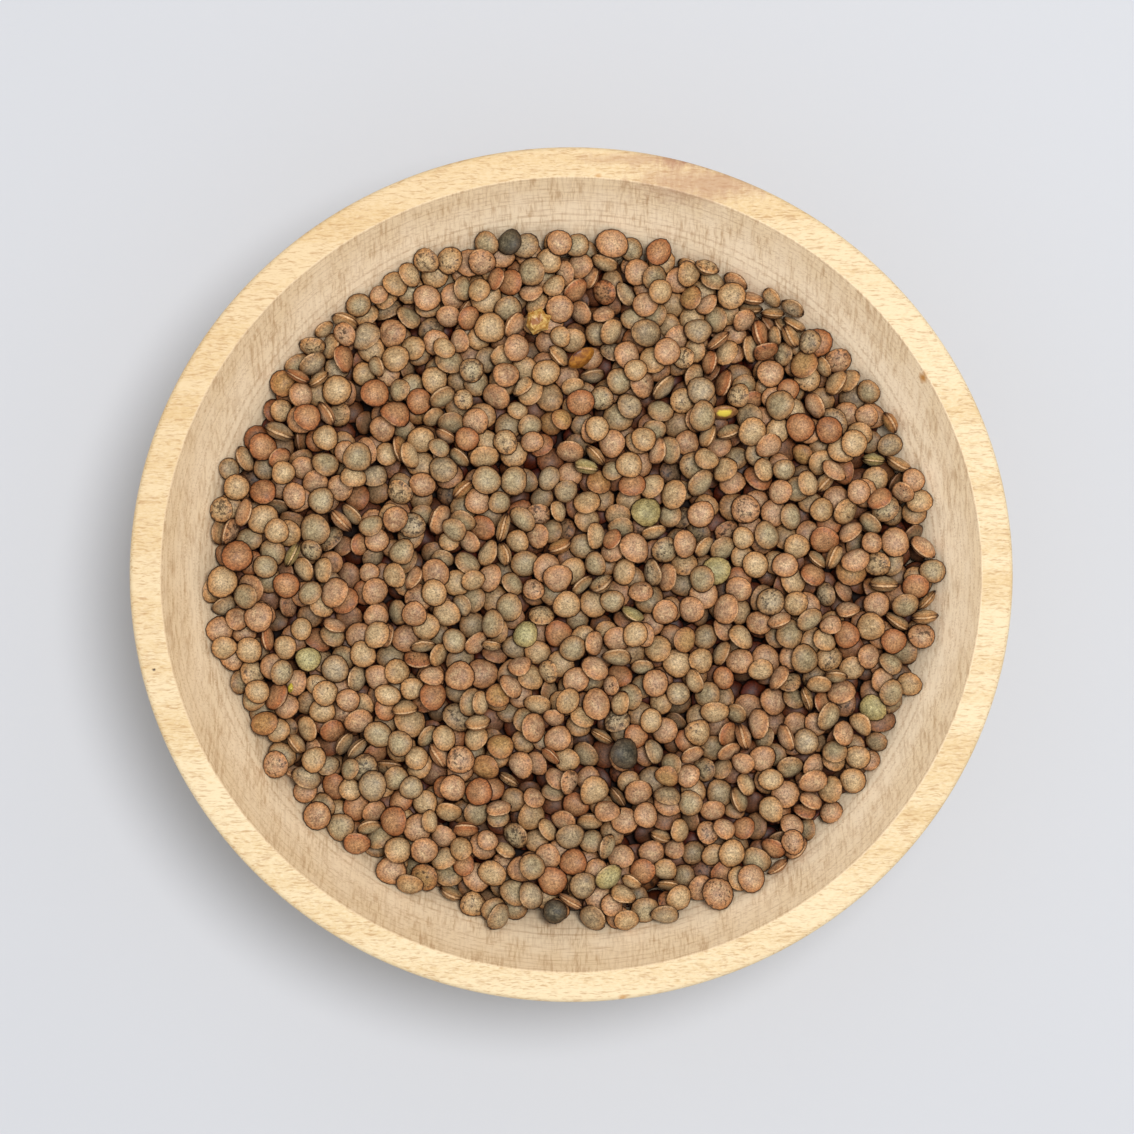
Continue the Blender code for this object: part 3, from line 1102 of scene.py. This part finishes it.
    def shaded(self, tree: Tree, grain: Socket, mottle: Socket, coat: Socket) -> Socket:
        """Makes the coat finely speckled, and paints shade on lentils that lie deep: darker and
        redder.

        Args:
            tree: the material's tree.
            grain: fine noise.
            mottle: coarse noise.
            coat: the colour so far.

        Returns:
            The final colour.
        """
        depth = add_node(tree, "ShaderNodeAttribute", attribute_name="depth").outputs["Fac"]
        reach = add_node(tree, "ShaderNodeAttribute", attribute_name="reach").outputs["Fac"]
        spans = (
            (grain, self.fine_speckle), (mottle, self.broad_mottle), (reach, self.clean_flank)
        )
        value = 1.0
        for source, span in spans:
            share = add_node(tree, "ShaderNodeMapRange", (source, *span)).outputs[0]
            value = add_node(
                tree, "ShaderNodeMath", (value, share), operation="MULTIPLY"
            ).outputs[0]
        coat = add_node(
            tree, "ShaderNodeVectorMath", {0: coat, "Scale": value}, operation="SCALE"
        ).outputs[0]
        # Painted shade: lentils that lie deep are multiplied towards the shade colour.
        return add_node(
            tree, "ShaderNodeMix", {0: depth, 6: coat, 7: linear(self.shade)}, data_type="RGBA",
            blend_type="MULTIPLY",
        ).outputs[2]


class Kind(Enum):
    """The kinds of lentil that the bowl holds."""

    PINKISH = LentilSkin("lentil_pinkish_brown", ("#C29772", "#CEA27D", "#B0835F"), "#B27848")
    KHAKI = LentilSkin("lentil_khaki", ("#C4A377", "#D0B084", "#B28F63"), "#B07C48")
    OLIVE = LentilSkin(
        "lentil_olive_grey", ("#B29B74", "#BCA680", "#9C8662"), "#9C6E40", dust="#BAAC88"
    )
    RUST = LentilSkin(
        "lentil_rust", ("#B68358", "#C28F62", "#9A6944"), "#9E5C30", dust="#BE9468", spotted=0.15
    )
    SPECKLED = LentilSkin(
        "lentil_speckled", ("#AE9977", "#BCA686", "#988161"), "#946C42", spotted=0.85
    )
    GREEN = LentilSkin(
        "lentil_pale_green", ("#B4A570", "#BDB17C", "#A39460"), "#A08850", dust="#C2B88C",
        spotted=0.12,
    )
    # Its under and ridge colours are its painted shade and painted highlight; its edge line is
    # partly painted shade.
    DARK = LentilSkin(
        "lentil_dark", ("#4A4232", "#746C56", "#2E281C"), "#463420", edge="#20130A",
        ridge="#6E5A44", under="#2C1E12", dust="#8A7E66", spotted=0.9,
    )
    AMBER = LentilSkin(
        "lentil_amber", ("#B58C58", "#B98E54", "#AE7C48"), "#A0693A", dust="#C09A6A", spotted=0.10
    )


KIND_SHARES = {
    Kind.PINKISH: 0.31, Kind.KHAKI: 0.29, Kind.OLIVE: 0.21, Kind.RUST: 0.10, Kind.SPECKLED: 0.07,
    Kind.AMBER: 0.02,
}

# Pixels of the photograph where a lentil of a rarer kind shows.
NAMED_PLACES = {
    Kind.GREEN: (
        (645, 510), (601, 877), (297, 544), (638, 612), (864, 706),
        (592, 475), (310, 665), (524, 637), (713, 573), (874, 452),
    ),
    Kind.DARK: ((557, 928), (500, 248), (612, 750)),
    Kind.SPECKLED: (
        (578, 873), (518, 924), (565, 485), (651, 576), (355, 668),
        (220, 470), (799, 315), (459, 611), (615, 714),
    ),
    Kind.AMBER: ((690, 627), (549, 544), (497, 770), (469, 479)),
}


@dataclass(frozen=True)
class PhotoView:
    """The photograph's view, straight down on the bowl."""

    pixels: float = 1134.0
    width_at_rim: float = 0.2052
    rim_height: float = 0.0520
    lens_mm: float = 120.0
    sensor_mm: float = 36.0
    centre: tuple[float, float] = (-0.00076, 0.00138)

    @property
    def height(self) -> float:
        """Height of the camera above the table."""
        return self.rim_height + self.width_at_rim * self.lens_mm / self.sensor_mm

    def place(self, pixel: tuple[float, float], z: float) -> tuple[float, float]:
        """Where a pixel's line of sight is at a height.

        Args:
            pixel: column and row in the photograph.
            z: the height above the table.

        Returns:
            The place (x, y).
        """
        step = self.width_at_rim / self.pixels * (self.height - z) / (self.height - self.rim_height)
        middle = self.pixels / 2
        column, row = pixel[0] - middle, pixel[1] - middle
        return self.centre[0] + column * step, self.centre[1] - row * step

    def camera(self) -> None:
        """Makes the scene's camera."""
        data = bpy.data.cameras.new("photo_view")
        data.lens = self.lens_mm
        data.sensor_width = self.sensor_mm
        data.clip_start = 0.01
        camera = bpy.data.objects.new("photo_view", data)
        camera.location = (self.centre[0], self.centre[1], self.height)
        bpy.context.scene.collection.objects.link(camera)
        bpy.context.scene.camera = camera


@dataclass(frozen=True)
class BareFlesh:
    """The inside of a lentil, bared: waxy, yellow to amber, with a faint gloss and one stain."""

    name: str
    flesh: str
    pale: str
    stain: str
    stain_at: Triple
    stain_spread: Triple
    roughness: float = 0.38
    ior: float = 1.47
    mottle_mm: float = 0.9
    stain_ragged: float = 1.4
    relief: float = 0.0001
    pale_show: Span = (0.4, 0.66, 0.0, 1.0)
    stain_edge: Span = (1.35, 1.75, 0.92, 0.0)

    def material(self) -> bpy.types.Material:
        """Builds the finish from Object coordinates and the attribute lens."""
        material, shader = new_finish(self.name, self.roughness, self.ior)
        tree = material.node_tree
        place = add_node(tree, "ShaderNodeTexCoord").outputs["Object"]
        own = add_node(tree, "ShaderNodeAttribute", attribute_name="lens").outputs["Vector"]
        mottle = add_node(
            tree, "ShaderNodeTexNoise",
            {"Vector": place, "Scale": 1 / (self.mottle_mm * MM), "Detail": 4.0, "Roughness": 0.7},
        ).outputs["Fac"]
        light = add_node(tree, "ShaderNodeMapRange", (mottle, *self.pale_show)).outputs[0]
        flesh = add_node(
            tree, "ShaderNodeMix", {0: light, 6: linear(self.flesh), 7: linear(self.pale)},
            data_type="RGBA",
        ).outputs[2]
        far = length_from(tree, own, self.stain_at, self.stain_spread)
        broken = add_node(
            tree, "ShaderNodeMath", (mottle, self.stain_ragged, far), operation="MULTIPLY_ADD"
        ).outputs[0]
        amount = add_node(tree, "ShaderNodeMapRange", (broken, *self.stain_edge)).outputs[0]
        colour = add_node(
            tree, "ShaderNodeMix", {0: amount, 6: flesh, 7: linear(self.stain)}, data_type="RGBA"
        ).outputs[2]
        tree.links.new(colour, shader.inputs["Base Color"])
        bump = add_node(
            tree, "ShaderNodeBump", {"Strength": 0.6, "Distance": self.relief, "Height": mottle}
        )
        tree.links.new(bump.outputs[0], shader.inputs["Normal"])
        return material


@dataclass(frozen=True)
class Oddment:
    """An odd piece among the lentils, where a pixel of the photograph shows it.

    It takes a lentil's place, or lies on it, at a share of its half sizes from its middle.
    """

    name: str
    pixel: tuple[float, float]
    half_mm: Triple
    tilt: tuple[float, float]
    finish: BareFlesh
    corners: int = 0
    lift: float = 0.0006
    lies_on: Triple | None = None

    def build(self, place: Vector) -> None:
        """Meshes the piece at a place: a lens, or an angular crumb where it has corners.

        Args:
            place: its centre.
        """
        lens = LentilShape(sides=20, lobes=(0.03, 0.02))
        mesh = self.crumb() if self.corners else lens.mesh(self.name)
        turn = Matrix.Rotation(self.tilt[1], 4, "Z") @ Matrix.Rotation(self.tilt[0], 4, "X")
        size = Matrix.Diagonal([half * MM for half in self.half_mm]).to_4x4()
        mesh.transform(Matrix.Translation(place + Vector((0, 0, self.lift))) @ turn @ size)
        mesh.materials.append(self.finish.material())
        place_piece(mesh_object(self.name, mesh), "lentils", "an odd piece")

    def crumb(self) -> bpy.types.Mesh:
        """Meshes a crumb of unit half sizes: a star of corners, with a smaller one over and under.

        Returns:
            The mesh.
        """
        draw = random.Random(self.corners)
        shape = bmesh.new()
        for k in range(self.corners * 2):
            turn = math.pi * k / self.corners + draw.uniform(-0.12, 0.12)
            out = draw.uniform(0.88, 1.10) if k % 2 == 0 else draw.uniform(0.76, 0.94)
            shape.verts.new((out * math.cos(turn), out * math.sin(turn), draw.uniform(-0.25, 0.25)))
        count = self.corners * 2
        shape.verts.ensure_lookup_table()
        ring = list(shape.verts)
        for side in (1.0, -1.0):
            flat = [(v.co.x * 0.68, v.co.y * 0.68) for v in ring]
            inner = [shape.verts.new((*at, side * draw.uniform(0.55, 0.95))) for at in flat]
            middle = shape.verts.new((0.05, -0.05, side))
            for k in range(count):
                after = (k + 1) % count
                shape.faces.new((ring[k], ring[after], inner[after], inner[k]))
                shape.faces.new((inner[k], inner[after], middle))
        bmesh.ops.triangulate(shape, faces=shape.faces)
        bmesh.ops.recalc_face_normals(shape, faces=shape.faces)
        mesh = bpy.data.meshes.new(self.name)
        shape.to_mesh(mesh)
        shape.free()
        own = mesh.attributes.new("lens", "FLOAT_VECTOR", "POINT")
        own.data.foreach_set("vector", [c for v in mesh.vertices for c in v.co])
        return mesh


ODDMENTS = (
    Oddment(
        "yellow_crumb", (530, 325), (2.5, 2.5, 1.7), (0.20, 0.3),
        BareFlesh(
            "bared_lentil_yellow", "#A87430", "#E2C274", "#8E5626",
            (-0.1, 0.15, 0.95), (0.55, 0.36, 1.2),
        ),
        corners=6,
    ),
    Oddment(
        "broken_amber_lentil", (583, 357), (2.7, 2.4, 1.25), (1.0, 0.62),
        BareFlesh(
            "bared_lentil_amber", "#7C4818", "#B87A2C", "#4A1A08",
            (0.0, 1.00, 0.02), (1.1, 0.17, 0.32),
        ),
    ),
    Oddment(
        "split_lentil", (720, 411), (2.6, 2.4, 1.15), (1.15, 0.05),
        BareFlesh(
            "split_lentil_coat", "#7E5230", "#A87848", "#EBD452",
            (0.0, 0.52, 0.68), (0.60, 0.48, 0.60),
        ),
    ),
    Oddment(
        "yellow_chip", (295, 695), (0.60, 1.0, 0.40), (0.30, -0.25),
        BareFlesh(
            "bared_lentil_chip", "#A08A22", "#D2C04A", "#7C6A1E",
            (0.3, -0.4, 0.8), (0.4, 0.4, 0.8),
        ),
        corners=4, lift=0.0001, lies_on=(0.30, -0.30, 0.95),
    ),
)


def lentil_tree() -> Tree:
    """Builds the Geometry Nodes tree that puts a lentil at each point.

    Its inputs are the shapes, the finish, and how uneven the lentils are. Each point's turn, size,
    shape, tone and wear are its attributes.

    Returns:
        The tree.
    """
    tree = bpy.data.node_groups.new("lentils_at_points", "GeometryNodeTree")
    for name, side, form in (
        ("Points", "INPUT", "Geometry"), ("Shapes", "INPUT", "Collection"),
        ("Finish", "INPUT", "Material"), ("Unevenness", "INPUT", "Float"),
        ("Lump Scale", "INPUT", "Float"), ("Lentils", "OUTPUT", "Geometry"),
    ):
        tree.interface.new_socket(name, in_out=side, socket_type=f"NodeSocket{form}")
    given = add_node(tree, "NodeGroupInput").outputs
    shapes = add_node(
        tree, "GeometryNodeCollectionInfo",
        {"Collection": given["Shapes"], "Separate Children": True, "Reset Children": True},
    ).outputs[0]
    turn, size, choice = (
        add_node(
            tree, "GeometryNodeInputNamedAttribute", {"Name": name}, data_type=form
        ).outputs[0]
        for name, form in (("turn", "QUATERNION"), ("size", "FLOAT_VECTOR"), ("shape", "INT"))
    )
    placed = add_node(
        tree, "GeometryNodeInstanceOnPoints",
        {
            "Points": given["Points"], "Instance": shapes, "Pick Instance": True,
            "Instance Index": choice, "Rotation": turn, "Scale": size,
        },
    ).outputs[0]
    real = add_node(tree, "GeometryNodeRealizeInstances", {"Geometry": placed}).outputs[0]
    position = add_node(tree, "GeometryNodeInputPosition").outputs[0]
    lumps = add_node(
        tree, "ShaderNodeTexNoise",
        {"Vector": position, "Scale": given["Lump Scale"], "Detail": 1.0, "Roughness": 0.5},
    ).outputs["Color"]
    centred = add_node(
        tree, "ShaderNodeVectorMath", (lumps, (0.5, 0.5, 0.5)), operation="SUBTRACT"
    ).outputs[0]
    offset = add_node(
        tree, "ShaderNodeVectorMath", {0: centred, "Scale": given["Unevenness"]}, operation="SCALE"
    ).outputs[0]
    uneven = add_node(
        tree, "GeometryNodeSetPosition", {"Geometry": real, "Offset": offset}
    ).outputs[0]
    dressed = add_node(
        tree, "GeometryNodeSetMaterial", {"Geometry": uneven, "Material": given["Finish"]}
    ).outputs[0]
    add_node(tree, "NodeGroupOutput", {"Lentils": dressed})
    return tree


@dataclass
class LentilHeap:
    """The lentils over the core, sorted into kinds."""

    bowl: TurnedBowl
    level: HeapLevel
    view: PhotoView
    seed: int = 23
    unevenness: float = 0.0005
    lump_scale: float = 300.0
    # How deep under the level painted shade starts, and over how much it grows full.
    shade_from: float = 0.0011
    shade_over: float = 0.0030
    wall_share: float = 0.88
    climb: float = 0.0032
    slope: float = 1.4

    def build(self, core: bpy.types.Object) -> None:
        """Pours the lentils, sorts them, and meshes each kind.

        Args:
            core: the heap's core.
        """
        pour = Pour(self.bowl, self.level)
        hull = LentilShape(sides=10, profile=((0.92, 0.30), (0.62, 0.74))).mesh("hull")
        lie = pour.settle(core, hull)
        lie = lie.kept(self.inside(lie))
        log.info("%d lentils lie in the bowl", len(lie.places))
        lie = self.with_oddments(lie)
        draw = random.Random(self.seed)
        kinds = self.sorted_kinds(lie, draw)
        shapes = self.shape_collection()
        tree = lentil_tree()
        for kind in Kind:
            rows = np.array([k is kind for k in kinds])
            if rows.any():
                self.mesh_kind(kind, lie.kept(rows), tree, shapes, draw)
        for shape in list(shapes.objects):
            bpy.data.objects.remove(shape)
        bpy.data.collections.remove(shapes)

    def inside(self, lie: Lie) -> np.ndarray:
        """Which lentils stay: those in the hollow that haven't climbed the wall over the level."""
        x, y, z = lie.places.T
        reach = np.hypot(x, y / self.bowl.oval)
        below = np.minimum(z - self.bowl.hollow_centre, 0)
        wall = np.sqrt(self.bowl.hollow_radius**2 - below**2)
        levels = np.array([self.level.height(*place, self.bowl) for place in lie.places[:, :2]])
        climbed = (reach > self.wall_share * wall) & (z > levels + self.climb)
        return (reach < wall) & ~climbed

    def with_oddments(self, lie: Lie) -> Lie:
        """Puts the odd pieces where the photograph shows them, each on a lentil or in its place.

        Args:
            lie: how the lentils lie.

        Returns:
            The lentils that are left.
        """
        left = np.ones(len(lie.places), bool)
        for oddment in ODDMENTS:
            row = self.shown_at(lie, oddment.pixel)
            place = Vector(lie.places[row])
            if oddment.lies_on:
                own = Vector(oddment.lies_on) * Vector(lie.sizes[row])
                offset = Quaternion(lie.turns[row]) @ own
                place += offset if offset.z > 0 else -offset
            else:
                left[row] = False
            oddment.build(place)
        return lie.kept(left)

    def sorted_kinds(self, lie: Lie, draw: random.Random) -> list[Kind]:
        """Gives each lentil a kind.

        Args:
            lie: how the lentils lie.
            draw: the seeded draws.

        Returns:
            One kind for each row.
        """
        kinds = draw.choices(list(KIND_SHARES), list(KIND_SHARES.values()), k=len(lie.places))
        for kind, pixels in NAMED_PLACES.items():
            for pixel in pixels:
                kinds[self.shown_at(lie, pixel)] = kind
        return kinds

    def shown_at(self, lie: Lie, pixel: tuple[float, float]) -> int:
        """The row of the lentil that shows nearest a pixel: high, and near its line of sight."""
        x, y = self.view.place(pixel, self.level.at_wall)
        away = np.hypot(lie.places[:, 0] - x, lie.places[:, 1] - y)
        return int(np.argmax(lie.places[:, 2] - self.slope * away))

    def depths(self, lie: Lie) -> np.ndarray:
        """How deep each lentil lies under the heap's level, 0 at the top and 1 out of sight: the
        amount of its painted shade.
        """
        levels = np.array([self.level.height(*place, self.bowl) for place in lie.places[:, :2]])
        return np.clip((levels - self.shade_from - lie.places[:, 2]) / self.shade_over, 0.0, 1.0)

    def shape_collection(self) -> bpy.types.Collection:
        """A collection of the lentil shapes, to pick from by number."""
        collection = bpy.data.collections.new("lentil_shapes")
        bpy.context.scene.collection.children.link(collection)
        for number, shape in enumerate(SHAPES):
            name = f"lentil_shape_{number}"
            collection.objects.link(bpy.data.objects.new(name, shape.mesh(name)))
        return collection

    def mesh_kind(
        self, kind: Kind, lie: Lie, tree: Tree,
        shapes: bpy.types.Collection, draw: random.Random,
    ) -> None:
        """Makes one kind's lentils a piece.

        Args:
            kind: the kind.
            lie: how its lentils lie.
            tree: the tree that puts a lentil at each point.
            shapes: the lentil shapes.
            draw: the seeded draws.
        """
        count = len(lie.places)
        chosen = draw.choices(range(len(SHAPES)), list(SHAPES.values()), k=count)
        points = bpy.data.meshes.new("points")
        points.from_pydata([tuple(p) for p in lie.places], [], [])
        columns = (
            ("turn", "QUATERNION", "value", lie.turns),
            ("size", "FLOAT_VECTOR", "vector", lie.sizes),
            ("shape", "INT", "value", chosen),
            ("tone", "FLOAT", "value", [draw.random() for _ in range(count)]),
            ("wear", "FLOAT", "value", [draw.random() for _ in range(count)]),
            ("depth", "FLOAT", "value", self.depths(lie)),
        )
        for name, form, field_name, values in columns:
            exact = np.int32 if form == "INT" else np.float32
            flat = np.asarray(values, dtype=exact).reshape(-1)
            points.attributes.new(name, form, "POINT").data.foreach_set(field_name, flat)
        carrier = mesh_object("points", points)
        nodes = carrier.modifiers.new("Lentils", "NODES")
        nodes.node_group = tree
        given = {
            "Shapes": shapes, "Finish": kind.value.material(),
            "Unevenness": self.unevenness, "Lump Scale": self.lump_scale,
        }
        for item in tree.interface.items_tree:
            if item.in_out == "INPUT" and item.name in given:
                nodes[item.identifier] = given[item.name]
        graph = bpy.context.evaluated_depsgraph_get()
        mesh = bpy.data.meshes.new_from_object(carrier.evaluated_get(graph))
        bpy.data.objects.remove(carrier)
        mesh.name = kind.value.name
        piece = mesh_object(kind.value.name, mesh)
        place_piece(piece, "lentils", f"{count} lentils")


# ---------------------------------------------------------------- the studio


@dataclass(frozen=True)
class Studio:
    """A pale matte table under soft light from the upper right."""

    board: str = "#C9CBD0"
    board_pale: str = "#CBCDD2"
    board_clouds: float = 9.0
    floor_size: float = 3.0
    key_place: Triple = (0.20, 0.13, 1.2)
    key_size: float = 0.38
    key_power: float = 9.9
    sky_strength: float = 0.63
    sky: str = "#FFFFFF"

    def build(self) -> None:
        """Makes the floor, the light and the sky."""
        half = self.floor_size / 2
        mesh = bpy.data.meshes.new("table_top")
        corners = [(-half, -half, 0), (half, -half, 0), (half, half, 0), (-half, half, 0)]
        mesh.from_pydata(corners, [], [(0, 1, 2, 3)])
        floor = mesh_object("table_top", mesh)
        mesh.materials.append(self.board_material())
        lamp = bpy.data.lights.new("key_light", "AREA")
        lamp.shape = "DISK"
        lamp.size = self.key_size
        lamp.energy = self.key_power
        key = bpy.data.objects.new("key_light", lamp)
        key.location = self.key_place
        key.rotation_euler = (-Vector(self.key_place)).to_track_quat("-Z", "Y").to_euler()
        bpy.context.scene.collection.objects.link(key)
        world = bpy.data.worlds.new("soft_sky")
        world.use_nodes = True
        background = world.node_tree.nodes["Background"]
        background.inputs["Color"].default_value = linear(self.sky)
        background.inputs["Strength"].default_value = self.sky_strength
        bpy.context.scene.world = world
        bpy.context.scene.view_settings.view_transform = "Standard"

    def board_material(self) -> bpy.types.Material:
        """Builds the table's painted board: matte, with the faintest cloudiness."""
        material, shader = new_finish("painted_board", 0.85, 1.45)
        tree = material.node_tree
        place = add_node(tree, "ShaderNodeTexCoord").outputs["Object"]
        clouds = add_node(
            tree, "ShaderNodeTexNoise", {"Vector": place, "Scale": self.board_clouds}
        ).outputs["Fac"]
        ramp = add_node(
            tree, "ShaderNodeValToRGB", (clouds,), ((0.2, self.board), (0.8, self.board_pale))
        )
        tree.links.new(ramp.outputs[0], shader.inputs["Base Color"])
        return material


def main() -> None:
    """Builds the view, the studio, the bowl and its lentils, in that order."""
    logging.basicConfig(level=logging.INFO, format="%(name)s: %(message)s")
    view = PhotoView()
    view.camera()
    Studio().build()
    bowl, level = TurnedBowl(), HeapLevel()
    bowl.build()
    core = HeapCore(bowl, level).build()
    LentilHeap(bowl, level, view).build(core)


if __name__ == "__main__":
    main()
